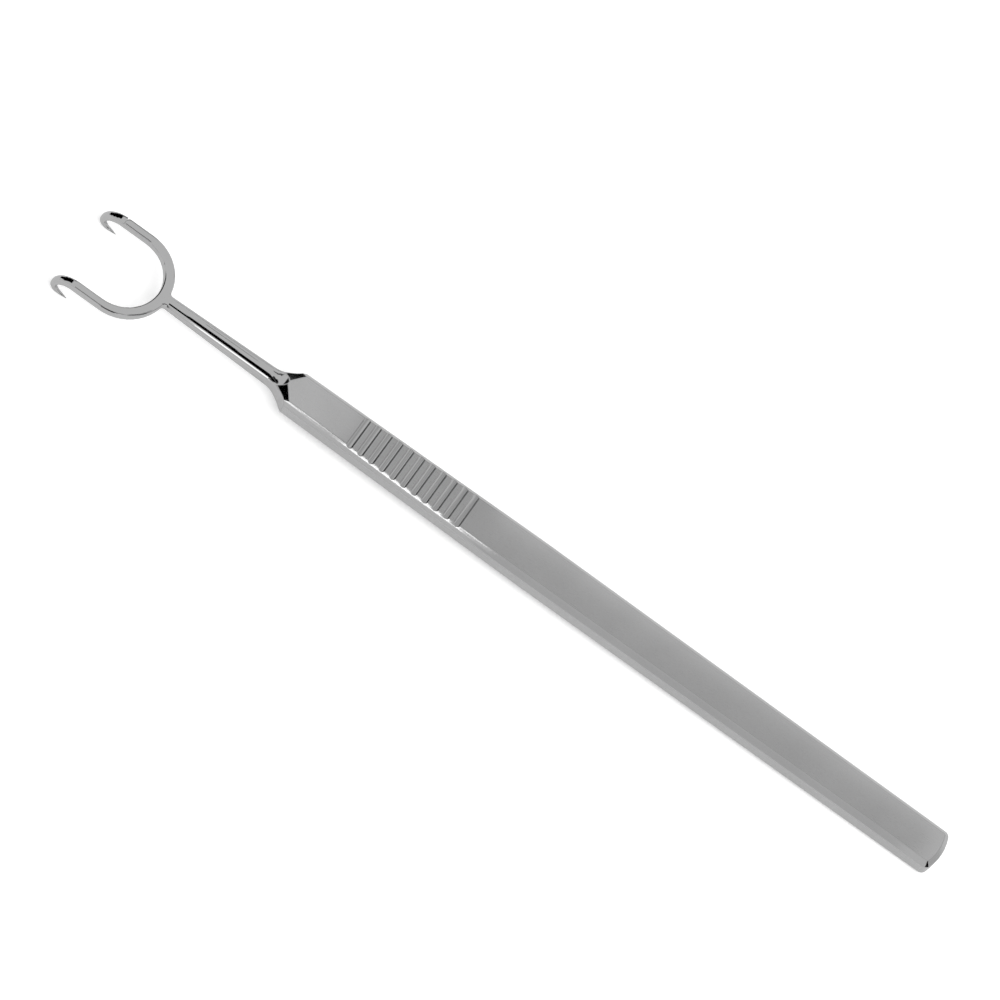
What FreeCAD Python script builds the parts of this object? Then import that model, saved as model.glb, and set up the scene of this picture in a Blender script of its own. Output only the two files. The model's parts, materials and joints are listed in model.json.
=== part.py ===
import FreeCAD, Part
import math
import os
import Sketcher

# Two-prong sharp skin retractor, forged and ground from one bar of stainless steel.
# Construction frame: +X runs from the bend of the hooks to the butt of the handle,
# +Z is the upper face of the handle, and Z = 0 is half way through its thickness.
# At the end the piece is laid down as it rests: on its two hooks and the butt.

# Driving dimensions, in millimetres and degrees
SIZES = (
    ("overall_length", 139.7, "bend of the hooks to the butt"),
    ("prong_spacing", 12.0, "between the middles of the two prongs"),
    ("prong_width", 1.2, "width of a prong, seen from above"),
    ("fork_thickness", 1.35, "thickness of the prongs and of the fork"),
    ("crotch_thickness", 1.5, "steel between the fork's gap and the shank, along the axis"),
    ("crotch_station", 13.97, "bend of the hooks to the back of the fork"),
    ("fork_fillet", 0.5, "fillet where the fork meets the shank"),
    ("prong_edge_radius", 0.28, "rounding of the edges of the prongs and the shank"),
    ("hook_bend_radius", 2.8, "first bend of a hook, to the middle of the steel"),
    ("hook_curl_radius", 1.45, "second, tighter bend of a hook"),
    ("hook_curl_angle", 78.0, "sweep of the second bend"),
    ("hook_point_length", 1.3, "straight taper that ends in the point"),
    ("hook_bend_width", 0.95, "thickness of the steel at the end of the first bend"),
    ("hook_curl_width", 0.5, "thickness of the steel at the end of the second bend"),
    ("hook_point_width", 0.07, "width left at the sharpened point"),
    ("hook_roundness", 0.42, "corner radius of a hook's section, as a share of its thickness"),
    ("shank_front_width", 1.7, "width of the shank at the fork"),
    ("shank_rear_width", 2.15, "width of the shank at the shoulder"),
    ("shank_rear_thickness", 2.1, "thickness of the shank at the shoulder"),
    ("shoulder_station", 30.8, "bend of the hooks to the start of the shoulder"),
    ("shoulder_radius", 4.9, "radius of the hollows in the sides of the shoulder"),
    ("nose_radius", 5.5, "radius of the hollows above and below the shoulder"),
    ("bevel_station", 33.2, "bend of the hooks to where the two bevels of a face meet"),
    ("bevel_turn", 53.0, "angle between the edge of a bevel and the handle, seen from above"),
    ("bevel_slope", 18.0, "slope of a bevel down from the face of the handle"),
    ("handle_thickness", 3.5, "thickness of the handle"),
    ("handle_front_width", 5.9, "width of the handle at the shoulder"),
    ("handle_middle_width", 6.7, "width of the handle at its widest"),
    ("handle_rear_width", 6.22, "width of the handle at the butt"),
    ("handle_middle_station", 75.0, "bend of the hooks to the widest place of the handle"),
    ("handle_crest_radius", 600.0, "rounding of the handle's sides at its widest"),
    ("handle_chamfer", 0.72, "chamfer along the edges of the handle"),
    ("butt_radius", 7.5, "rounding of the butt, seen from above"),
    ("butt_corner_radius", 0.9, "rounding of the corners of the butt, seen from above"),
    ("groove_count", 11, "finger grooves on each face"),
    ("groove_station", 44.3, "bend of the hooks to the front edge of the first groove"),
    ("groove_pitch", 1.75, "from one groove to the next"),
    ("groove_width", 0.95, "width of a groove at the face"),
    ("groove_depth", 0.25, "depth of a groove"),
)

# Places and sizes worked out from the driving ones
FORK_OUTER_RADIUS = "(Sizes.prong_spacing + Sizes.prong_width) / 2"
FORK_INNER_RADIUS = "(Sizes.prong_spacing - Sizes.prong_width) / 2"
FORK_OUTER_CENTRE = f"Sizes.crotch_station - {FORK_OUTER_RADIUS}"
FORK_INNER_CENTRE = f"Sizes.crotch_station - Sizes.crotch_thickness - {FORK_INNER_RADIUS}"
HOOK_START = "Sizes.hook_bend_width / 2 + Sizes.hook_bend_radius"
SHANK_START = "Sizes.crotch_station - Sizes.crotch_thickness / 2"
RAMP_START = "Sizes.crotch_station + Sizes.fork_fillet"
SHOULDER_END = "Sizes.shoulder_station + Sizes.shoulder_radius"
BEVEL_REACH = "Sizes.handle_front_width"
BEVEL_PLACE = "vector(Sizes.bevel_station; 0; Sizes.handle_thickness / 2)"
BEVEL_TURN = "rotation(-Sizes.bevel_turn; 0; Sizes.bevel_slope)"
CREST_DEPTH = "Sizes.handle_crest_radius - Sizes.handle_middle_width / 2"
GROOVE_RADIUS = "(Sizes.groove_width ^ 2 / 4 + Sizes.groove_depth ^ 2) / (2 * Sizes.groove_depth)"

JOIN_TOLERANCE = 1e-6
SETTLING_ROUNDS = 8
REST_ACCURACY = 0.005
ORIGIN = (-1, 1)
X_AXIS = -1

doc = FreeCAD.newDocument("retractor")
sheet = doc.addObject("Spreadsheet::Sheet", "Sizes")
for row, (alias, number, meaning) in enumerate(SIZES, start=1):
    sheet.set(f"A{row}", meaning)
    sheet.set(f"B{row}", str(number))
    sheet.setAlias(f"B{row}", alias)
doc.recompute()


def value(expression):
    """Present value of an expression that names cells of the sheet."""
    return float(sheet.evalExpression(expression))


def origin_feature(body, role):
    """Plane or axis of a body's own origin."""
    return next(feature for feature in body.Origin.OriginFeatures if feature.Role == role)


def new_sketch(body, name, role):
    """Empty sketch on one of the planes of the body's origin."""
    sketch = body.newObject("Sketcher::SketchObject", name)
    sketch.AttachmentSupport = (origin_feature(body, role), [""])
    sketch.MapMode = "FlatFace"
    return sketch


def add_line(sketch, start, end):
    """Straight edge between two points of the sketch."""
    return sketch.addGeometry(Part.LineSegment(FreeCAD.Vector(*start), FreeCAD.Vector(*end)), False)


def add_arc(sketch, centre, start, end, side=1):
    """Round edge from start to end, anticlockwise on side 1 and mirrored in the X axis on side -1.

    Returns the edge, its number at the start and its number at the end.
    """
    places = [FreeCAD.Vector(across, side * up) for across, up in (centre, start, end)]
    middle, first, last = places if side > 0 else (places[0], places[2], places[1])
    circle = Part.Circle(middle, FreeCAD.Vector(0, 0, 1), middle.distanceToPoint(first))
    turns = [math.atan2(place.y - middle.y, place.x - middle.x) for place in (first, last)]
    edge = sketch.addGeometry(Part.ArcOfCircle(circle, *turns), False)
    return (edge, 1, 2) if side > 0 else (edge, 2, 1)


def hold(sketch, kind, *where, number, expression):
    """Dimension of a sketch, bound to the sheet."""
    index = sketch.addConstraint(Sketcher.Constraint(kind, *where, number))
    sketch.setExpression(f"Constraints[{index}]", expression)


def hold_radius(sketch, edge, expression):
    """Radius of a round edge."""
    hold(sketch, "Radius", edge, number=sketch.Geometry[edge].Radius, expression=expression)


def pin(sketch, edge, end, across=None, up=None):
    """Holds an end (1, 2) or the centre (3) of an edge at distances from the sketch's origin."""
    place = sketch.getPoint(edge, end)
    for kind, number, expression in (("DistanceX", place.x, across), ("DistanceY", place.y, up)):
        if expression is None:
            continue
        if number < 0:
            hold(sketch, kind, edge, end, *ORIGIN, number=-number, expression=expression)
        else:
            hold(sketch, kind, *ORIGIN, edge, end, number=number, expression=expression)


def join_ends(sketch, smooth=()):
    """Makes edges meet end to end, and run on in one direction where the pair is named smooth."""
    ends = [(edge, end) for edge in range(sketch.GeometryCount) for end in (1, 2)]
    for index, first in enumerate(ends):
        for second in ends[index + 1:]:
            gap = sketch.getPoint(*first).distanceToPoint(sketch.getPoint(*second))
            if gap < JOIN_TOLERANCE:
                kind = "Tangent" if (first[0], second[0]) in smooth else "Coincident"
                sketch.addConstraint(Sketcher.Constraint(kind, *first, *second))


def hollow(start, slope, radius, rise):
    """Centre and end of the hollow that leaves a sloping line and climbs to a height."""
    centre = (start[0] - radius * math.sin(slope), start[1] + radius * math.cos(slope))
    reach = math.sqrt(radius ** 2 - (centre[1] - rise) ** 2)
    return centre, (centre[0] + reach, rise)


def touch(centre, radius, outside):
    """Place on the upper side of a circle where a line from an outside point touches it."""
    across, up = outside[0] - centre[0], outside[1] - centre[1]
    swing = math.acos(radius / math.hypot(across, up))
    turn = math.atan2(up, across) + math.copysign(swing, across)
    return (centre[0] + radius * math.cos(turn), centre[1] + radius * math.sin(turn))


def draw_bar(sketch):
    """Outline of shank, shoulder and handle, seen from above."""
    front = (value(SHANK_START), value("Sizes.shank_front_width / 2"))
    shoulder = (value("Sizes.shoulder_station"), value("Sizes.shank_rear_width / 2"))
    crest_radius = value("Sizes.handle_crest_radius")
    crest_centre = (value("Sizes.handle_middle_station"), -value(CREST_DEPTH))
    butt_radius = value("Sizes.butt_radius")
    butt_centre = value("Sizes.overall_length") - butt_radius
    rear_height = value("Sizes.handle_rear_width / 2")
    rear = (butt_centre + math.sqrt(butt_radius ** 2 - rear_height ** 2), rear_height)
    slope = math.atan2(shoulder[1] - front[1], shoulder[0] - front[0])
    scoop_centre, corner = hollow(shoulder, slope, value("Sizes.shoulder_radius"),
                                  value("Sizes.handle_front_width / 2"))
    rise = touch(crest_centre, crest_radius, corner)
    fall = touch(crest_centre, crest_radius, rear)
    smooth = []
    for side in (1, -1):
        shank = add_line(sketch, (front[0], side * front[1]), (shoulder[0], side * shoulder[1]))
        scoop, _, scoop_end = add_arc(sketch, scoop_centre, shoulder, corner, side)
        swell = add_line(sketch, (corner[0], side * corner[1]), (rise[0], side * rise[1]))
        crest, _, _ = add_arc(sketch, crest_centre, fall, rise, side)
        taper = add_line(sketch, (fall[0], side * fall[1]), (rear[0], side * rear[1]))
        pin(sketch, shank, 1, SHANK_START, "Sizes.shank_front_width / 2")
        pin(sketch, shank, 2, "Sizes.shoulder_station", "Sizes.shank_rear_width / 2")
        hold_radius(sketch, scoop, "Sizes.shoulder_radius")
        pin(sketch, scoop, scoop_end, up="Sizes.handle_front_width / 2")
        pin(sketch, crest, 3, "Sizes.handle_middle_station", CREST_DEPTH)
        hold_radius(sketch, crest, "Sizes.handle_crest_radius")
        pin(sketch, taper, 2, up="Sizes.handle_rear_width / 2")
        smooth += [(shank, scoop), (swell, crest), (crest, taper)]
    butt, _, _ = add_arc(sketch, (butt_centre, 0), (rear[0], -rear[1]), rear)
    sketch.addConstraint(Sketcher.Constraint("PointOnObject", butt, 3, X_AXIS))
    pin(sketch, butt, 3, across="Sizes.overall_length - Sizes.butt_radius")
    hold_radius(sketch, butt, "Sizes.butt_radius")
    add_line(sketch, (front[0], -front[1]), front)
    join_ends(sketch, smooth)


def draw_flanks(sketch):
    """What is ground away above and below the shank, seen from the side."""
    front = (value(RAMP_START), value("Sizes.fork_thickness / 2"))
    shoulder = (value("Sizes.shoulder_station"), value("Sizes.shank_rear_thickness / 2"))
    slope = math.atan2(shoulder[1] - front[1], shoulder[0] - front[0])
    centre, nose = hollow(shoulder, slope, value("Sizes.nose_radius"),
                          value("Sizes.handle_thickness / 2"))
    outside = value("Sizes.handle_thickness")
    start = value(f"({SHANK_START}) / 2")
    smooth = []
    for side in (1, -1):
        level = add_line(sketch, (start, side * front[1]), (front[0], side * front[1]))
        ramp = add_line(sketch, (front[0], side * front[1]), (shoulder[0], side * shoulder[1]))
        scoop, _, scoop_end = add_arc(sketch, centre, shoulder, nose, side)
        wall = add_line(sketch, (nose[0], side * nose[1]), (nose[0], side * outside))
        roof = add_line(sketch, (nose[0], side * outside), (start, side * outside))
        add_line(sketch, (start, side * outside), (start, side * front[1]))
        pin(sketch, level, 1, f"({SHANK_START}) / 2", "Sizes.fork_thickness / 2")
        pin(sketch, level, 2, RAMP_START, "Sizes.fork_thickness / 2")
        pin(sketch, ramp, 2, "Sizes.shoulder_station", "Sizes.shank_rear_thickness / 2")
        hold_radius(sketch, scoop, "Sizes.nose_radius")
        pin(sketch, scoop, scoop_end, up="Sizes.handle_thickness / 2")
        sketch.addConstraint(Sketcher.Constraint("Vertical", wall))
        pin(sketch, wall, 2, up="Sizes.handle_thickness")
        pin(sketch, roof, 2, f"({SHANK_START}) / 2", "Sizes.handle_thickness")
        smooth.append((ramp, scoop))
    join_ends(sketch, smooth)


def draw_fork(sketch):
    """Outline of the fork and its two straight prongs, seen from above."""
    start = value(HOOK_START)
    outer, outer_centre = value(FORK_OUTER_RADIUS), value(FORK_OUTER_CENTRE)
    inner, inner_centre = value(FORK_INNER_RADIUS), value(FORK_INNER_CENTRE)
    smooth = []
    for radius, radius_text, centre, centre_text in (
            (outer, FORK_OUTER_RADIUS, outer_centre, FORK_OUTER_CENTRE),
            (inner, FORK_INNER_RADIUS, inner_centre, FORK_INNER_CENTRE)):
        near = add_line(sketch, (start, -radius), (centre, -radius))
        bend, _, _ = add_arc(sketch, (centre, 0), (centre, -radius), (centre, radius))
        far = add_line(sketch, (centre, radius), (start, radius))
        pin(sketch, near, 1, HOOK_START, radius_text)
        pin(sketch, near, 2, centre_text, radius_text)
        pin(sketch, far, 1, centre_text, radius_text)
        pin(sketch, far, 2, HOOK_START, radius_text)
        smooth.append((near, bend))
    for side in (1, -1):
        add_line(sketch, (start, side * inner), (start, side * outer))
    join_ends(sketch, smooth)


def draw_hook_path(sketch):
    """Middle line of a hook, seen from the side: two bends and the straight point."""
    start, bend = value(HOOK_START), value("Sizes.hook_bend_radius")
    curl = value("Sizes.hook_curl_radius")
    apex = (start - bend, -bend)
    curl_centre = (apex[0] + curl, -bend)
    turn = math.pi + math.radians(value("Sizes.hook_curl_angle"))
    leave = (curl_centre[0] + curl * math.cos(turn), curl_centre[1] + curl * math.sin(turn))
    length = value("Sizes.hook_point_length")
    tip = (leave[0] - length * math.sin(turn), leave[1] + length * math.cos(turn))
    first, _, _ = add_arc(sketch, (start, -bend), (start, 0), apex)
    second, _, _ = add_arc(sketch, curl_centre, apex, leave)
    point = add_line(sketch, leave, tip)
    pin(sketch, first, 3, HOOK_START, "Sizes.hook_bend_radius")
    hold_radius(sketch, first, "Sizes.hook_bend_radius")
    sketch.addConstraint(Sketcher.Constraint("Vertical", first, 3, first, 1))
    sketch.addConstraint(Sketcher.Constraint("Horizontal", first, 3, first, 2))
    hold_radius(sketch, second, "Sizes.hook_curl_radius")
    hold(sketch, "Angle", second, number=turn - math.pi, expression="Sizes.hook_curl_angle * 1 deg")
    hold(sketch, "Distance", point, number=length, expression="Sizes.hook_point_length")
    join_ends(sketch, [(first, second), (second, point)])


def draw_section(sketch, width, thickness, radius):
    """Rectangle with rounded corners around the sketch's origin."""
    across_text, up_text = f"({width}) / 2 - {radius}", f"({thickness}) / 2 - {radius}"
    across, up, round_off = value(across_text), value(up_text), value(radius)
    corners = ((across, -up), (across, up), (-across, up), (-across, -up))
    outward = ((0, -1), (1, 0), (0, 1), (-1, 0), (0, -1))
    smooth = []
    for index, centre in enumerate(corners):
        ends = [(centre[0] + round_off * way[0], centre[1] + round_off * way[1])
                for way in outward[index:index + 2]]
        corner, _, _ = add_arc(sketch, centre, *ends)
        following = corners[(index + 1) % len(corners)]
        way = outward[index + 1]
        side = add_line(sketch, ends[1], (following[0] + round_off * way[0],
                                          following[1] + round_off * way[1]))
        pin(sketch, corner, 3, across_text, up_text)
        hold_radius(sketch, corner, radius)
        smooth += [(corner, side), (side, corner + 2)]
    smooth.append((0, sketch.GeometryCount - 1))
    join_ends(sketch, smooth)


def draw_bevel(sketch):
    """Field over which a bevel cuts, from the point where it meets its neighbour."""
    reach = value(BEVEL_REACH)
    corners = ((0, 0), (reach, 0), (reach, -reach), (0, -reach))
    for start, end in zip(corners, corners[1:] + corners[:1]):
        add_line(sketch, start, end)
    sketch.addConstraint(Sketcher.Constraint("Coincident", 0, 1, *ORIGIN))
    sketch.addConstraint(Sketcher.Constraint("Horizontal", 0))
    sketch.addConstraint(Sketcher.Constraint("Vertical", 3))
    pin(sketch, 1, 1, across=BEVEL_REACH)
    pin(sketch, 2, 1, BEVEL_REACH, BEVEL_REACH)
    pin(sketch, 3, 1, up=BEVEL_REACH)
    join_ends(sketch)


def draw_groove(sketch):
    """The first groove of the upper and of the lower face, seen from the side."""
    across_text = "Sizes.groove_station + Sizes.groove_width / 2"
    up_text = f"Sizes.handle_thickness / 2 + {GROOVE_RADIUS} - Sizes.groove_depth"
    for side in (1, -1):
        centre = FreeCAD.Vector(value(across_text), side * value(up_text))
        wheel = sketch.addGeometry(
            Part.Circle(centre, FreeCAD.Vector(0, 0, 1), value(GROOVE_RADIUS)), False)
        pin(sketch, wheel, 3, across_text, up_text)
        hold_radius(sketch, wheel, GROOVE_RADIUS)


def pad(body, name, sketch, expression):
    """Solid on both sides of a sketch."""
    feature = body.newObject("PartDesign::Pad", name)
    feature.Profile = sketch
    feature.SideType = "Symmetric"
    feature.setExpression("Length", expression)
    doc.recompute()


def pocket(body, name, sketch, both_sides=True):
    """Cut through the whole body, on both sides of a sketch or only on the side it faces."""
    feature = body.newObject("PartDesign::Pocket", name)
    feature.Profile = sketch
    feature.Type = "ThroughAll"
    if both_sides:
        feature.SideType = "Symmetric"
    else:
        feature.Reversed = True
    before = body.Shape.Volume
    doc.recompute()
    if body.Shape.Volume >= before:
        raise RuntimeError(f"{name} cuts nothing")
    return feature


def middle_of(edge):
    """Place half way along an edge."""
    return edge.valueAt((edge.FirstParameter + edge.LastParameter) / 2)


def upright(edge):
    """True where an edge runs straight up."""
    low, high = (edge.valueAt(end) for end in (edge.FirstParameter, edge.LastParameter))
    return math.hypot(high.x - low.x, high.y - low.y) < JOIN_TOLERANCE


def dress(body, kind, name, sizes, choose):
    """Fillet or chamfer on the edges that the test chooses."""
    base = body.Tip
    names = [f"Edge{number}" for number, edge in enumerate(base.Shape.Edges, start=1)
             if choose(edge)]
    feature = body.newObject(f"PartDesign::{kind}", name)
    feature.Base = (base, names)
    for property_name, expression in sizes.items():
        feature.setExpression(property_name, expression)
    doc.recompute()
    return feature


def round_bar(width):
    """Width, thickness and corner radius of a hook's section that is as thick as it is wide."""
    return width, width, f"{width} * Sizes.hook_roundness"


def hook_section(body, path, name, edge, along, width, thickness, radius):
    """Section of a hook at a place on its path, with its width along the Y axis of the body."""
    sketch = body.newObject("Sketcher::SketchObject", name)
    sketch.AttachmentSupport = (path, [edge])
    sketch.MapMode = "NormalToEdge"
    sketch.MapPathParameter = along
    doc.recompute()
    axis = sketch.Placement.Rotation.inverted().multVec(FreeCAD.Vector(0, 1, 0))
    turn = FreeCAD.Rotation(FreeCAD.Vector(0, 0, 1), math.degrees(math.atan2(axis.y, axis.x)))
    sketch.AttachmentOffset = FreeCAD.Placement(FreeCAD.Vector(), turn)
    draw_section(sketch, width, thickness, radius)
    return sketch


def resting_tilt(points):
    """Angle about Y that brings the lowest point of the front and of the rear to one level."""
    middle = (min(point.x for point in points) + max(point.x for point in points)) / 2
    ends = ([point for point in points if point.x < middle],
            [point for point in points if point.x >= middle])
    tilt = 0.0
    for _ in range(SETTLING_ROUNDS):
        front, rear = (min(end, key=lambda point: point.z - point.x * math.tan(tilt))
                       for end in ends)
        tilt = math.atan2(rear.z - front.z, rear.x - front.x)
    return math.degrees(tilt)


body = doc.addObject("PartDesign::Body", "Retractor")
body.Label = "retractor"

# The bar, ground thin above and below the shank, with the fork on its front end
bar_outline = new_sketch(body, "BarOutline", "XY_Plane")
draw_bar(bar_outline)
pad(body, "Bar", bar_outline, "Sizes.handle_thickness")
flank_outline = new_sketch(body, "FlankOutline", "XZ_Plane")
draw_flanks(flank_outline)
pocket(body, "Flanks", flank_outline)
fork_outline = new_sketch(body, "ForkOutline", "XY_Plane")
draw_fork(fork_outline)
pad(body, "Fork", fork_outline, "Sizes.fork_thickness")

# Edges, from the handle forward
hook_start = value(HOOK_START)
shoulder = value("Sizes.shoulder_station")
butt = value("Sizes.overall_length - Sizes.butt_radius / 2")
half_handle = value("Sizes.handle_thickness / 2")
side_of_prong = value("Sizes.prong_width / 4")


def in_crotch(edge):
    """Edges where the back of the fork meets the sides of the shank."""
    place = middle_of(edge)
    return upright(edge) and abs(place.y) > side_of_prong and hook_start < place.x < value(RAMP_START)


def on_handle_face(edge):
    """Edges around the two faces of the handle, behind the shoulder."""
    place = middle_of(edge)
    return place.x > value(SHOULDER_END) and half_handle - abs(place.z) < JOIN_TOLERANCE


def along_prong(edge):
    """Edges along the prongs, the fork and the shank."""
    place = middle_of(edge)
    outer = abs(place.y) > side_of_prong and abs(place.z) > side_of_prong
    return outer and not upright(edge) and hook_start + side_of_prong < place.x < shoulder


dress(body, "Fillet", "ForkFillets", {"Radius": "Sizes.fork_fillet"}, in_crotch)
dress(body, "Fillet", "ButtCorners", {"Radius": "Sizes.butt_corner_radius"},
      lambda edge: upright(edge) and middle_of(edge).x > butt)
dress(body, "Chamfer", "HandleChamfer", {"Size": "Sizes.handle_chamfer"}, on_handle_face)
dress(body, "Fillet", "ProngEdges", {"Radius": "Sizes.prong_edge_radius"}, along_prong)

# Bevels on both sides of the nose of each face
bevel_field = new_sketch(body, "BevelField", "XY_Plane")
bevel_field.setExpression("AttachmentOffset", f"placement({BEVEL_PLACE}; {BEVEL_TURN})")
draw_bevel(bevel_field)
doc.recompute()
bevel = pocket(body, "Bevel", bevel_field, both_sides=False)
bevels = body.newObject("PartDesign::MultiTransform", "Bevels")
bevels.Originals = [bevel]
mirrors = []
for name, role in (("BevelAcross", "XZ_Plane"), ("BevelBelow", "XY_Plane")):
    mirror = body.newObject("PartDesign::Mirrored", name)
    mirror.MirrorPlane = (origin_feature(body, role), [""])
    mirrors.append(mirror)
bevels.Transformations = mirrors
body.Tip = bevels
doc.recompute()

# Finger grooves
groove_outline = new_sketch(body, "GrooveOutline", "XZ_Plane")
draw_groove(groove_outline)
groove = pocket(body, "Groove", groove_outline)
grooves = body.newObject("PartDesign::LinearPattern", "Grooves")
grooves.Originals = [groove]
grooves.Direction = (origin_feature(body, "X_Axis"), [""])
grooves.Mode = "Extent"
grooves.setExpression("Occurrences", "Sizes.groove_count")
grooves.setExpression("Length", "Sizes.groove_pitch * (Sizes.groove_count - 1)")
body.Tip = grooves
doc.recompute()

# Hooks, each drawn down to its point around two bends
path = new_sketch(body, "HookPath", "XZ_Plane")
path.setExpression("AttachmentOffset.Base.z", "Sizes.prong_spacing / 2")
draw_hook_path(path)
sections = [hook_section(body, path, *place) for place in (
    ("HookRoot", "Edge1", 0.0, "Sizes.prong_width", "Sizes.fork_thickness", "Sizes.prong_edge_radius"),
    ("HookBend", "Edge1", 1.0, *round_bar("Sizes.hook_bend_width")),
    ("HookCurl", "Edge2", 1.0, *round_bar("Sizes.hook_curl_width")),
    ("HookPoint", "Edge3", 1.0, *round_bar("Sizes.hook_point_width")))]
doc.recompute()
hook = body.newObject("PartDesign::AdditivePipe", "Hook")
hook.Profile = sections[0]
hook.Spine = (path, ["Edge1", "Edge2", "Edge3"])
hook.Sections = sections[1:]
hook.Transformation = "Multisection"
hook.Mode = "Standard"
doc.recompute()
hooks = body.newObject("PartDesign::Mirrored", "Hooks")
hooks.Originals = [hook]
hooks.MirrorPlane = (origin_feature(body, "XZ_Plane"), [""])
body.Tip = hooks
doc.recompute()

# At rest on the hooks and the butt, over the middle of its footprint
points, _ = body.Shape.tessellate(REST_ACCURACY)
lay_down = FreeCAD.Rotation(FreeCAD.Vector(0, 1, 0), resting_tilt(points))
points = [lay_down.multVec(point) for point in points]
across = [point.x for point in points]
body.Placement = FreeCAD.Placement(
    FreeCAD.Vector(-(min(across) + max(across)) / 2, 0, -min(point.z for point in points)), lay_down)
doc.recompute()

for item in doc.Objects:
    if set(item.State) & {"Invalid", "Error"}:
        raise RuntimeError(f"{item.Name} does not rebuild")
if body.Shape.isNull() or not body.Shape.isValid() or len(body.Shape.Solids) != 1:
    raise RuntimeError("the retractor is not one sound solid")
os.makedirs("parts", exist_ok=True)
body.Shape.Solids[0].exportStep(f"parts/{body.Label}.step")
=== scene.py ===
import json
import math

import bmesh
import bpy
from bpy.props import FloatProperty, FloatVectorProperty, IntProperty, PointerProperty
from mathutils import Matrix, Vector
from mathutils.bvhtree import BVHTree
from mathutils.geometry import barycentric_transform


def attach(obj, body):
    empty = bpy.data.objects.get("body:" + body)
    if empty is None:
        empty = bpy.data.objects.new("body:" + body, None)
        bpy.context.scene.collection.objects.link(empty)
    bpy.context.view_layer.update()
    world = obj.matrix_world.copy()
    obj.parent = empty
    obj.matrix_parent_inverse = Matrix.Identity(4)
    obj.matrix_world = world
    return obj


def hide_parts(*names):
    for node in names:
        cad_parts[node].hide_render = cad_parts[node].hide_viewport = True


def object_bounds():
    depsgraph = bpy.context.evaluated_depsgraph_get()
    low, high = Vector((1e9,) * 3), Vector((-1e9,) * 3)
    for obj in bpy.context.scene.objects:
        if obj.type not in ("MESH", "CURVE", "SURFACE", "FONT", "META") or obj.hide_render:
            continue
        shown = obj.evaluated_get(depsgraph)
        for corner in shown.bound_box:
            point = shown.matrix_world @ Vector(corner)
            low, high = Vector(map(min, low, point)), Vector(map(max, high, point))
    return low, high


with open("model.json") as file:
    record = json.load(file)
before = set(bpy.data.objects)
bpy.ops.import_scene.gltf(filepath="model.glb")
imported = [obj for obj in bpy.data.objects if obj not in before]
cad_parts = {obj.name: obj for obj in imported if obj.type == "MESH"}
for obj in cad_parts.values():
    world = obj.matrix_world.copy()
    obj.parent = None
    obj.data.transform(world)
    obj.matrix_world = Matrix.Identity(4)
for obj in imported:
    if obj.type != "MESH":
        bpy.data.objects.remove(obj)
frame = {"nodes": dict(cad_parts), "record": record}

bl_info = {
    "name": "Hooked steel retractor",
    "version": (1, 0, 0),
    "blender": (4, 5, 0),
    "location": "3D View > Sidebar > Retractor",
    "description": "Two-prong skin retractor with satin handle faces and a mirror polished front end",
    "category": "Object",
}

CAD_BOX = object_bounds()
NODE = "retractor"
MM = 0.001
FINISHES = ("satin", "ground", "polished", "edge")
WELD = 0.0001 * MM
INSET = 0.02 * MM
STEP_IN = 0.02
FLAT_TURN = 0.003
LARGE_FACE = 50 * MM * MM
SMALL_FACE = MM * MM
WHITE = (1.0, 1.0, 1.0, 1.0)

# How closely a face's normal follows a direction, as a cosine
ALIGNED = 0.999
LEVEL = 0.99
SHALLOW = 0.93
LEAST_CHAMFER = 0.6
MOST_CHAMFER = 0.8
SLIGHT = 0.05


def instrument_frame():
    """Directions of the instrument as it lies, and the middle of its axis over its footprint."""
    upper, lower = (next(mount for mount in frame["record"]["mounts"] if mount["name"] == name)
                    for name in ("upper_face", "lower_face"))
    face_up = Vector(upper["axis"]).normalized()
    across = Vector((0.0, 1.0, 0.0))
    along = across.cross(face_up).normalized()
    on_axis = (Vector(upper["pos_m"]) + Vector(lower["pos_m"])) / 2
    return along, across, face_up, on_axis - along * (on_axis.x / along.x)


ALONG, ACROSS, FACE_UP, AXIS_MIDDLE = instrument_frame()
HALF_LENGTH = (CAD_BOX[1][0] - CAD_BOX[0][0]) / 2


def at(station, across=0.0, height=0.0):
    """Place on the instrument: from the bend of the hooks, across, and above its axis."""
    return AXIS_MIDDLE + ALONG * (station - HALF_LENGTH) + ACROSS * across + FACE_UP * height


def station_of(place):
    """Distance of a place from the bend of the hooks, along the instrument."""
    return (place - AXIS_MIDDLE).dot(ALONG) + HALF_LENGTH


def leaning(forward, sideways):
    """Direction out of the face, leaned by angles in degrees to the hooks and to the near side."""
    return (FACE_UP - ALONG * math.tan(math.radians(forward))
            - ACROSS * math.tan(math.radians(sideways))).normalized()


def size_property(name, description, default, low=0.0):
    """Length in metres that a user may change."""
    return FloatProperty(name=name, description=description, default=default, min=low,
                         subtype="DISTANCE", unit="LENGTH", precision=5)


def angle_property(name, description, degrees):
    """Angle that a user may change."""
    return FloatProperty(name=name, description=description, default=math.radians(degrees),
                         subtype="ANGLE", unit="ROTATION")


def share_property(name, description, default):
    """Plain number between none and all, or a brightness."""
    return FloatProperty(name=name, description=description, default=default, min=0.0)


def colour_property(name, description, default):
    """Colour that a user may change."""
    return FloatVectorProperty(name=name, description=description, default=default, size=4,
                               min=0.0, max=1.0, subtype="COLOR")


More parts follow.
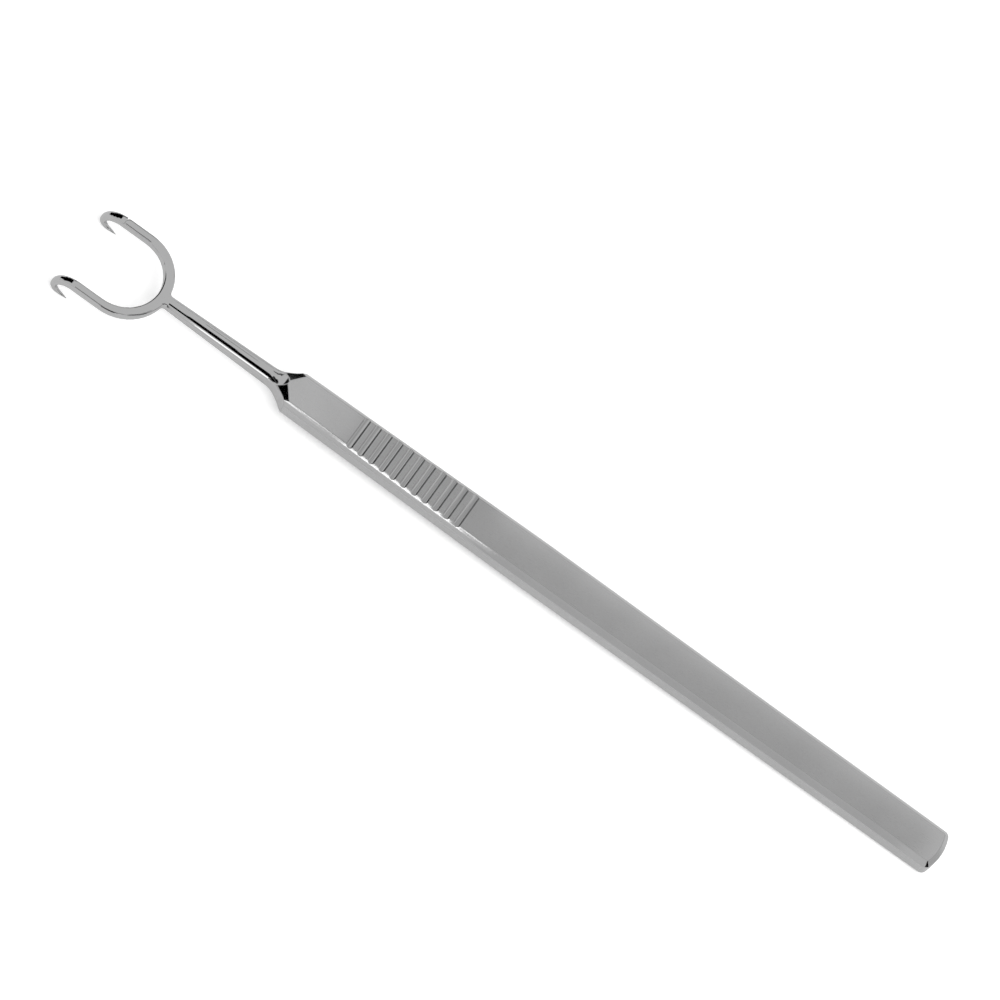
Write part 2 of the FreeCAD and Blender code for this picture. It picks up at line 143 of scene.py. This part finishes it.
class SteelSettings(bpy.types.PropertyGroup):
    satin_colour: colour_property("Satin steel", "Colour of the ground faces of the handle",
                                  (0.6, 0.6, 0.602, 1.0))
    ground_colour: colour_property("Ground steel", "Colour of the chamfers and the finger grooves",
                                   (0.58, 0.58, 0.582, 1.0))
    polished_colour: colour_property("Polished steel", "Colour of the mirror polished front end",
                                     (0.6, 0.6, 0.602, 1.0))
    edge_colour: colour_property("Edge steel", "Colour of the softened edges of the handle",
                                 (0.53, 0.53, 0.532, 1.0))
    edge_radius: size_property("Edge softening", "Width of the softened edges of the handle", 0.1 * MM)
    edge_steps: IntProperty(name="Edge steps", description="Facets across a softened edge",
                            default=3, min=1, max=6)
    edge_angle: angle_property("Edge angle", "Least turn of the surface that counts as an edge", 14.0)
    nose_station: size_property("Nose", "Bend of the hooks to the front of the handle's faces", 33.6 * MM)
    shoulder_station: size_property("Shoulder", "Bend of the hooks to the start of the shoulder", 30.6 * MM)
    shank_flat: size_property("Shank flat", "Half the width of the flat middle of the shank's top",
                              0.12 * MM)
    shank_round: size_property("Shank round", "From the shank's middle to the well rounded part of its top",
                               0.36 * MM)
    round_lean: angle_property("Round lean", "Lean of the surface at the well rounded part", 24.0)
    border_lean: angle_property("Border lean", "Lean of the surface at the border of the shank's top", 36.0)
    side_lean: angle_property("Side lean", "Lean of the surface at the border of the shank's sides", 56.0)
    level_turn: angle_property("Level turn", "Turn to the side below which the shank's top counts as level",
                               5.0)
    line_reach: size_property("Line reach", "How near a corner is that counts as on one of these lines",
                              0.012 * MM)
    crotch_station: size_property("Fork", "Bend of the hooks to the start of the shank", 14.6 * MM)
    shoulder_half: size_property("Shoulder half", "From the shank's middle to where the rounding is full",
                                 0.8 * MM)
    joint_start: size_property("Joint start", "Bend of the hooks to the start of the joint with a prong",
                               2.9 * MM)
    joint_end: size_property("Joint end", "Bend of the hooks to the end of the joint with a prong",
                             3.75 * MM)
    joint_lean: share_property("Joint lean", "Most that a joint's surface leans to its hook, as a sine",
                               0.08)


class StageSettings(bpy.types.PropertyGroup):
    floor_colour: colour_property("Floor", "Colour of the floor as the camera sees it",
                                  (0.97, 0.97, 0.97, 1.0))
    floor_reflected: colour_property("Reflected floor", "Colour of the floor as the steel reflects it",
                                     (0.7, 0.7, 0.7, 1.0))
    floor_lift: share_property("Floor lift", "White that the camera sees on the floor besides its light",
                               0.26)
    floor_size: size_property("Floor size", "Length of a side of the floor", 6.0)
    room_light: share_property("Room light", "Brightness of the white room", 0.7)
    lamp_power: share_property("Lamp power", "Power of the soft lamp, in watts", 7.0)
    lamp_size: size_property("Lamp size", "Length of a side of the soft lamp", 0.7)
    lamp_distance: size_property("Lamp distance", "From the instrument to the soft lamp", 1.2)
    lamp_rear: share_property("Lamp to the rear", "Lean of the lamp to the butt, as a slope", 0.4)
    lamp_near: share_property("Lamp to the near side", "Lean of the lamp to the near side, as a slope",
                              0.35)
    lean: angle_property("Camera lean", "Angle between the camera and the handle's face", 27.2)
    roll: angle_property("Camera roll", "Slope of the instrument across the picture", 35.7)
    focal_length: FloatProperty(name="Focal length", description="Lens of the camera, in millimetres",
                                default=250.0, min=20.0)
    picture_width: size_property("Picture width", "Width that the picture covers at the handle",
                                 132.1 * MM)
    picture_along: FloatProperty(name="Picture middle", unit="LENGTH", precision=5,
                                 description="Middle of the picture, from the middle of the instrument",
                                 default=-4.78 * MM)
    picture_across: size_property("Picture offset", "Middle of the picture, beside the instrument",
                                  4.426 * MM)


def corner_normal(source, tree, place):
    """Normal of the CAD surface at a place on it."""
    triangle = source.polygons[tree.find_nearest(place)[2]]
    places = [source.vertices[index].co for index in triangle.vertices]
    normals = [source.corner_normals[corner].vector for corner in triangle.loop_indices]
    return barycentric_transform(place, *places, *normals).normalized()


def inset_normal(corner, source, tree):
    """Normal of the CAD surface just inside a corner of a face."""
    return corner_normal(source, tree, corner.vert.co + corner.calc_tangent() * INSET)


def crisp(edge, source, tree, angle):
    """True where the CAD surface turns sharply across an edge."""
    middle = (edge.verts[0].co + edge.verts[1].co) / 2
    sides = [corner_normal(source, tree, middle.lerp(face.calc_center_median(), STEP_IN))
             for face in edge.link_faces]
    return len(sides) == 2 and sides[0].angle(sides[1]) > angle


def finish_of(face, settings):
    """Number of the finish of a face: the large ones are the handle's, however far they reach."""
    station = station_of(face.calc_center_median())
    lift, spread = abs(face.normal.dot(FACE_UP)), abs(face.normal.dot(ACROSS))
    if station < settings.nose_station and face.calc_area() < LARGE_FACE:
        return FINISHES.index("polished")
    if lift > ALIGNED or spread > ALIGNED:
        return FINISHES.index("satin")
    return FINISHES.index("ground")


def soften_edges(form, source, tree, settings):
    """Rounds the crisp edges from the shoulder to the butt, and says which finish each face has."""
    for edge in form.edges:
        edge.smooth = not crisp(edge, source, tree, settings.edge_angle)
    bmesh.ops.dissolve_limit(form, angle_limit=FLAT_TURN, verts=form.verts, edges=form.edges,
                             delimit={"SHARP"})
    for face in form.faces:
        face.material_index = finish_of(face, settings)
    edges = [edge for edge in form.edges if not edge.smooth
             and min(station_of(end.co) for end in edge.verts) > settings.shoulder_station]
    bmesh.ops.bevel(form, geom=edges, offset=settings.edge_radius, offset_type="OFFSET",
                    segments=settings.edge_steps, profile=0.5, affect="EDGES",
                    clamp_overlap=False, material=FINISHES.index("edge"))
    split_shank(form, settings)
    form.normal_update()


def crowned_chamfers(form, settings):
    """Corners of the chamfers, which are slightly crowned, each with its normal."""
    return {corner: sum((near.normal for near in corner.vert.link_faces), Vector()).normalized()
            for face in form.faces
            if station_of(face.calc_center_median()) > settings.nose_station
            and face.calc_area() > SMALL_FACE
            and LEAST_CHAMFER < abs(face.normal.dot(FACE_UP)) < MOST_CHAMFER
            for corner in face.loops}


def on_shank(face, settings):
    """True for the faces of the shank, between the fork and the shoulder."""
    return settings.crotch_station < station_of(face.calc_center_median()) < settings.shoulder_station


def split_shank(form, settings):
    """Lines along the top and the bottom of the shank, where its rounding starts."""
    flat, well_round = settings.shank_flat, settings.shank_round
    for across in (flat, -flat, well_round, -well_round):
        faces = [face for face in form.faces
                 if on_shank(face, settings) and abs(face.normal.dot(FACE_UP)) > LEVEL]
        edges = list(dict.fromkeys(edge for face in faces for edge in face.edges))
        ends = list(dict.fromkeys(end for edge in edges for end in edge.verts))
        bmesh.ops.bisect_plane(form, geom=faces + edges + ends, dist=WELD,
                               plane_co=AXIS_MIDDLE + ACROSS * across, plane_no=ACROSS)


def shank_lean(normal, across, settings):
    """Lean of the shank's surface, whose section is nearly round."""
    turn = math.asin(min(1.0, abs(normal.dot(ACROSS))))
    if turn > settings.level_turn:
        share = turn / math.radians(90.0)
        return settings.border_lean + (settings.side_lean - settings.border_lean) * share
    if across < settings.shank_flat + settings.line_reach:
        return 0.0
    if across < settings.shank_round + settings.line_reach:
        return settings.round_lean
    return settings.border_lean


def crowned_shank(form, source, tree, settings):
    """Corners of the shank, each with its normal."""
    normals = {}
    for face in form.faces:
        if not on_shank(face, settings):
            continue
        for corner in face.loops:
            offset = corner.vert.co - AXIS_MIDDLE
            across, height = offset.dot(ACROSS), offset.dot(FACE_UP)
            normal = inset_normal(corner, source, tree)
            lean = shank_lean(normal, abs(across), settings)
            normals[corner] = (FACE_UP * math.copysign(math.cos(lean), height)
                               + ACROSS * math.copysign(math.sin(lean), across))
    return normals


def blended_joints(form, normals, settings):
    """Corners where the hooks join the prongs, which are polished smooth, each with its normal."""
    blended = {}
    for face in form.faces:
        for corner in face.loops:
            if settings.joint_start < station_of(corner.vert.co) < settings.joint_end:
                normal = normals[corner]
                forward = normal.dot(ALONG)
                kept = max(-settings.joint_lean, min(settings.joint_lean, forward))
                blended[corner] = (normal - ALONG * (forward - kept)).normalized()
    return blended


def faded_shank(form, source, tree, settings):
    """Corners above and below the shoulder, where the rounding of the shank fades out."""
    faded = {}
    reach = settings.nose_station - settings.shoulder_station
    for face in form.faces:
        station = station_of(face.calc_center_median())
        lift, spread = abs(face.normal.dot(FACE_UP)), abs(face.normal.dot(ACROSS))
        if not (settings.shoulder_station < station < settings.nose_station
                and lift > SHALLOW and spread < SLIGHT):
            continue
        for corner in face.loops:
            offset = corner.vert.co - AXIS_MIDDLE
            across = offset.dot(ACROSS)
            fade = (settings.nose_station - station_of(corner.vert.co)) / reach
            share = max(0.0, min(1.0, fade)) * min(1.0, abs(across) / settings.shoulder_half)
            normal = inset_normal(corner, source, tree)
            faded[corner] = (normal + ACROSS * math.copysign(math.tan(settings.border_lean * share),
                                                             across)).normalized()
    return faded


def surface_normals(form, source, tree, settings):
    """Normal of every corner: the CAD surface's own, and even turns over the softened edges."""
    edge_finish = FINISHES.index("edge")
    normals = crowned_shank(form, source, tree, settings)
    normals.update(faded_shank(form, source, tree, settings))
    normals.update(crowned_chamfers(form, settings))
    for face in form.faces:
        if face.material_index == edge_finish:
            continue
        for corner in face.loops:
            if corner not in normals:
                normals[corner] = inset_normal(corner, source, tree)
    for face in form.faces:
        if face.material_index != edge_finish:
            continue
        for corner in face.loops:
            if corner in normals:
                continue
            beside = [normals[other] for other in corner.vert.link_loops
                      if other.face.material_index != edge_finish]
            turns = beside or [near.normal for near in corner.vert.link_faces]
            normals[corner] = sum(turns, Vector()).normalized()
    normals.update(blended_joints(form, normals, settings))
    return [normals[corner] for face in form.faces for corner in face.loops]


def brushed(nodes, links, shader, look):
    """Grain along the instrument that roughens and lightly scores the steel."""
    place = nodes.new("ShaderNodeTexCoord")
    stretch = nodes.new("ShaderNodeMapping")
    stretch.inputs["Scale"].default_value = look["grain"]
    links.new(place.outputs["Object"], stretch.inputs["Vector"])
    grain = nodes.new("ShaderNodeTexNoise")
    grain.inputs["Scale"].default_value = 1.0
    grain.inputs["Detail"].default_value = 4.0
    links.new(stretch.outputs["Vector"], grain.inputs["Vector"])
    roughness = nodes.new("ShaderNodeMapRange")
    roughness.inputs["From Min"].default_value = 0.3
    roughness.inputs["From Max"].default_value = 0.7
    roughness.inputs["To Min"].default_value = look["roughness"][0]
    roughness.inputs["To Max"].default_value = look["roughness"][1]
    links.new(grain.outputs["Fac"], roughness.inputs["Value"])
    links.new(roughness.outputs["Result"], shader.inputs["Roughness"])
    bump = nodes.new("ShaderNodeBump")
    bump.inputs["Strength"].default_value = look["scratch"]
    bump.inputs["Distance"].default_value = look["depth"]
    links.new(grain.outputs["Fac"], bump.inputs["Height"])
    links.new(bump.outputs["Normal"], shader.inputs["Normal"])
    return place


def clouded(nodes, links, shader, place, colour, spread):
    """Slow change of tone over the steel, from handling and washing."""
    cloud = nodes.new("ShaderNodeTexNoise")
    cloud.inputs["Scale"].default_value = 160.0
    cloud.inputs["Detail"].default_value = 3.0
    links.new(place.outputs["Object"], cloud.inputs["Vector"])
    tone = nodes.new("ShaderNodeValToRGB")
    darker, lighter = tone.color_ramp.elements
    darker.position, lighter.position = 0.3, 0.7
    darker.color = [part * (1 - spread) for part in colour[:3]] + [1.0]
    lighter.color = [min(1.0, part * (1 + spread)) for part in colour[:3]] + [1.0]
    links.new(cloud.outputs["Fac"], tone.inputs["Fac"])
    links.new(tone.outputs["Color"], shader.inputs["Base Color"])


def steel(name, colour, look):
    """Stainless steel with its grain, polish and change of tone."""
    material = bpy.data.materials.new(name)
    material.use_nodes = True
    nodes, links = material.node_tree.nodes, material.node_tree.links
    shader = nodes["Principled BSDF"]
    shader.inputs["Metallic"].default_value = 1.0
    place = brushed(nodes, links, shader, look)
    clouded(nodes, links, shader, place, colour, look["spread"])
    return material


def steel_finishes(settings):
    """The four finishes, in the order of their numbers."""
    satin = {"grain": (900.0, 14000.0, 14000.0), "roughness": (0.26, 0.36), "scratch": 0.12,
             "depth": 0.004 * MM, "spread": 0.03}
    ground = {"grain": (1200.0, 12000.0, 12000.0), "roughness": (0.12, 0.2), "scratch": 0.06,
              "depth": 0.003 * MM, "spread": 0.03}
    polished = {"grain": (2500.0, 6000.0, 6000.0), "roughness": (0.05, 0.09), "scratch": 0.03,
                "depth": 0.002 * MM, "spread": 0.02}
    edge = {"grain": (1500.0, 8000.0, 8000.0), "roughness": (0.1, 0.16), "scratch": 0.04,
            "depth": 0.002 * MM, "spread": 0.03}
    return (steel("satin_steel", settings.satin_colour, satin),
            steel("ground_steel", settings.ground_colour, ground),
            steel("polished_steel", settings.polished_colour, polished),
            steel("worn_edge_steel", settings.edge_colour, edge))


class RETRACTOR_OT_steel(bpy.types.Operator):
    """Makes the instrument with softened edges and gives it its finishes"""
    bl_idname = "retractor.steel"
    bl_label = "Steel"

    def execute(self, context):
        settings = context.scene.retractor_steel
        source = frame["nodes"][NODE].data
        tree = BVHTree.FromPolygons([vertex.co for vertex in source.vertices],
                                    [tuple(polygon.vertices) for polygon in source.polygons])
        form = bmesh.new()
        form.from_mesh(source)
        bmesh.ops.remove_doubles(form, verts=form.verts, dist=WELD)
        soften_edges(form, source, tree, settings)
        normals = surface_normals(form, source, tree, settings)
        mesh = bpy.data.meshes.new("retractor_steel")
        form.to_mesh(mesh)
        form.free()
        mesh.shade_smooth()
        mesh.normals_split_custom_set(normals)
        for finish in steel_finishes(settings):
            mesh.materials.append(finish)
        piece = bpy.data.objects.new("retractor_steel", mesh)
        context.scene.collection.objects.link(piece)
        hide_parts(NODE)
        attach(piece, "root")
        return {"FINISHED"}


def glow(name, strength):
    """Plain light, or plain black where the strength is none."""
    material = bpy.data.materials.new(name)
    material.use_nodes = True
    nodes, links = material.node_tree.nodes, material.node_tree.links
    nodes.remove(nodes["Principled BSDF"])
    light = nodes.new("ShaderNodeEmission")
    light.inputs["Color"].default_value = WHITE
    light.inputs["Strength"].default_value = strength
    links.new(light.outputs["Emission"], nodes["Material Output"].inputs["Surface"])
    return material


def add_quad(name, corners, material):
    """Flat four-cornered piece of the stage."""
    mesh = bpy.data.meshes.new(name)
    mesh.from_pydata(corners, [], [(0, 1, 2, 3)])
    mesh.materials.append(material)
    quad = bpy.data.objects.new(name, mesh)
    bpy.context.scene.collection.objects.link(quad)
    return quad


def add_card(name, settings, spot, normal, distance, size, strength):
    """Card that the steel at a spot reflects to the camera, seen only by the steel."""
    toward = camera_direction(settings)
    ray = normal * (2 * normal.dot(toward)) - toward
    wide = (ALONG - ray * ALONG.dot(ray)).normalized() * size[0] / 2
    high = ray.cross(wide).normalized() * size[1] / 2
    middle = spot + ray * distance
    corners = [middle - wide - high, middle + wide - high, middle + wide + high, middle - wide + high]
    card = add_quad(name, corners, glow(name, strength))
    for sight in ("visible_camera", "visible_diffuse", "visible_shadow", "visible_transmission",
                  "visible_volume_scatter"):
        setattr(card, sight, False)
    return card


def add_cards(settings):
    """Dark flags and thin light strips around the instrument, as in a studio for polished metal."""
    near_bevel, far_bevel = leaning(14.4, 11.2), leaning(14.4, -11.2)
    add_card("flag_near_bevel", settings, at(33.9 * MM, -1.5 * MM, 1.6 * MM), near_bevel,
             30 * MM, (9 * MM, 9 * MM), 0.0)
    add_card("flag_far_bevel", settings, at(33.9 * MM, 3.9 * MM, 1.6 * MM), far_bevel,
             30 * MM, (9 * MM, 4.6 * MM), 0.0)
    for side in (-1, 1):
        add_card("flag_hook", settings, at(1.5 * MM, side * 6 * MM, 0.2 * MM), leaning(30.0, 0.0),
                 60 * MM, (56 * MM, 56 * MM), 0.0)
    add_card("flag_camera", settings, at(12.5 * MM), leaning(0.0, 24.0), 60 * MM,
             (32 * MM, 32 * MM), 0.0)
    add_card("flag_fork", settings, at(13 * MM, -3.5 * MM, 0.6 * MM), leaning(-22.2, 22.2),
             20 * MM, (20 * MM, 8 * MM), 0.0)
    add_card("flag_bow", settings, at(9.4 * MM, -6.5 * MM, 0.5 * MM), leaning(-5.0, 42.0),
             12 * MM, (6 * MM, 7 * MM), 0.0)
    add_card("flag_grooves", settings, at(53 * MM, 0.0, 1.6 * MM), leaning(38.0, 0.0), 60 * MM,
             (26 * MM, 11 * MM), 0.0)
    add_card("flag_butt", settings, at(137.6 * MM, -2.6 * MM, 1.3 * MM), leaning(-35.3, 35.3),
             12 * MM, (9 * MM, 9 * MM), 0.0)
    add_card("strip_shank", settings, at(23.4 * MM), leaning(0.0, 42.0), 60 * MM,
             (15 * MM, 16 * MM), 1.8)
    add_card("strip_chamfer", settings, at(48.5 * MM), leaning(0.0, 39.0), 60 * MM,
             (28 * MM, 5 * MM), 3.2)
    add_card("shade_grooves", settings, at(54.5 * MM), leaning(0.0, 0.0), 15 * MM,
             (22 * MM, 24 * MM), 0.5)
    add_card("shade_rear", settings, at(101.5 * MM, -4.5 * MM), leaning(0.0, 0.0), 15 * MM,
             (73 * MM, 9 * MM), 0.5)
    add_card("shade_chamfer", settings, at(102 * MM, -3.2 * MM, 1.2 * MM), leaning(0.0, 45.0), 30 * MM,
             (74 * MM, 20 * MM), 0.58)
    add_card("shade_butt", settings, at(139 * MM, 0.5 * MM, 1.4 * MM), leaning(-45.0, 0.0), 30 * MM,
             (30 * MM, 30 * MM), 0.56)


def camera_direction(settings):
    """Direction from the instrument to the camera."""
    return FACE_UP * math.cos(settings.lean) - ACROSS * math.sin(settings.lean)


def add_camera(settings):
    """Long lens above the handle, leaning to the near side and rolled."""
    down = ACROSS * -math.cos(settings.lean) - FACE_UP * math.sin(settings.lean)
    toward = camera_direction(settings)
    middle = AXIS_MIDDLE + ALONG * settings.picture_along - down * settings.picture_across
    right = ALONG * math.cos(settings.roll) - down * math.sin(settings.roll)
    up = toward.cross(right)
    camera_data = bpy.data.cameras.new("camera")
    camera_data.lens = settings.focal_length
    distance = settings.picture_width * settings.focal_length / camera_data.sensor_width
    camera = bpy.data.objects.new("camera", camera_data)
    bpy.context.scene.collection.objects.link(camera)
    turn = Matrix((right, up, toward)).transposed().to_4x4()
    camera.matrix_world = Matrix.Translation(middle + toward * distance) @ turn
    bpy.context.scene.camera = camera


def show_to_camera(nodes, links, other, seen, surface):
    """Gives a surface one shader for the camera and another for every other ray."""
    sight = nodes.new("ShaderNodeLightPath")
    choice = nodes.new("ShaderNodeMixShader")
    links.new(sight.outputs["Is Camera Ray"], choice.inputs["Fac"])
    links.new(other.outputs[0], choice.inputs[1])
    links.new(seen.outputs[0], choice.inputs[2])
    links.new(choice.outputs["Shader"], surface)


def floor_paint(settings):
    """Matt white to the camera, and a little darker as the steel reflects it."""
    material = bpy.data.materials.new("floor_paint")
    material.use_nodes = True
    nodes, links = material.node_tree.nodes, material.node_tree.links
    reflected = nodes["Principled BSDF"]
    seen = nodes.new("ShaderNodeBsdfPrincipled")
    for paint, colour in ((reflected, settings.floor_reflected), (seen, settings.floor_colour)):
        paint.inputs["Base Color"].default_value = colour
        paint.inputs["Roughness"].default_value = 0.9
        paint.inputs["Specular IOR Level"].default_value = 0.0
    seen.inputs["Emission Color"].default_value = WHITE
    seen.inputs["Emission Strength"].default_value = settings.floor_lift
    show_to_camera(nodes, links, reflected, seen, nodes["Material Output"].inputs["Surface"])
    return material


def add_room(settings):
    """Even white room."""
    room = bpy.data.worlds.new("white_room")
    bpy.context.scene.world = room
    room.use_nodes = True
    nodes, links = room.node_tree.nodes, room.node_tree.links
    lighting = nodes["Background"]
    seen = nodes.new("ShaderNodeBackground")
    for background, strength in ((lighting, settings.room_light), (seen, 1.0)):
        background.inputs["Color"].default_value = WHITE
        background.inputs["Strength"].default_value = strength
    show_to_camera(nodes, links, lighting, seen, nodes["World Output"].inputs["Surface"])


def add_lamp(settings):
    """Soft lamp above the instrument, which lights it and the floor but isn't mirrored in the steel."""
    lamp_data = bpy.data.lights.new("soft_lamp", "AREA")
    lamp_data.shape = "SQUARE"
    lamp_data.size = settings.lamp_size
    lamp_data.energy = settings.lamp_power
    lamp = bpy.data.objects.new("soft_lamp", lamp_data)
    bpy.context.scene.collection.objects.link(lamp)
    direction = (FACE_UP + ALONG * settings.lamp_rear - ACROSS * settings.lamp_near).normalized()
    lamp.location = direction * settings.lamp_distance
    lamp.rotation_euler = direction.to_track_quat("Z", "Y").to_euler()
    lamp.visible_glossy = False


class RETRACTOR_OT_stage(bpy.types.Operator):
    """Adds the floor, the lamps, the cards and the camera"""
    bl_idname = "retractor.stage"
    bl_label = "Stage"

    def execute(self, context):
        settings = context.scene.retractor_stage
        context.scene.view_settings.view_transform = "Standard"
        reach = settings.floor_size / 2
        corners = [(-reach, -reach, 0.0), (reach, -reach, 0.0), (reach, reach, 0.0), (-reach, reach, 0.0)]
        add_quad("floor", corners, floor_paint(settings))
        add_room(settings)
        add_lamp(settings)
        add_cards(settings)
        add_camera(settings)
        return {"FINISHED"}


class RETRACTOR_PT_panel(bpy.types.Panel):
    """Lists the steps that make the instrument and its stage"""
    bl_label = "Retractor"
    bl_idname = "RETRACTOR_PT_panel"
    bl_space_type = "VIEW_3D"
    bl_region_type = "UI"
    bl_category = "Retractor"

    def draw(self, context):
        layout = self.layout
        layout.operator(RETRACTOR_OT_steel.bl_idname)
        layout.operator(RETRACTOR_OT_stage.bl_idname)


CLASSES = (SteelSettings, StageSettings, RETRACTOR_OT_steel, RETRACTOR_OT_stage, RETRACTOR_PT_panel)


def register():
    for item in CLASSES:
        bpy.utils.register_class(item)
    bpy.types.Scene.retractor_steel = PointerProperty(type=SteelSettings)
    bpy.types.Scene.retractor_stage = PointerProperty(type=StageSettings)


def unregister():
    del bpy.types.Scene.retractor_stage
    del bpy.types.Scene.retractor_steel
    for item in reversed(CLASSES):
        bpy.utils.unregister_class(item)


def main():
    register()
    bpy.ops.retractor.steel()
    bpy.ops.retractor.stage()


if __name__ == "__main__":
    main()
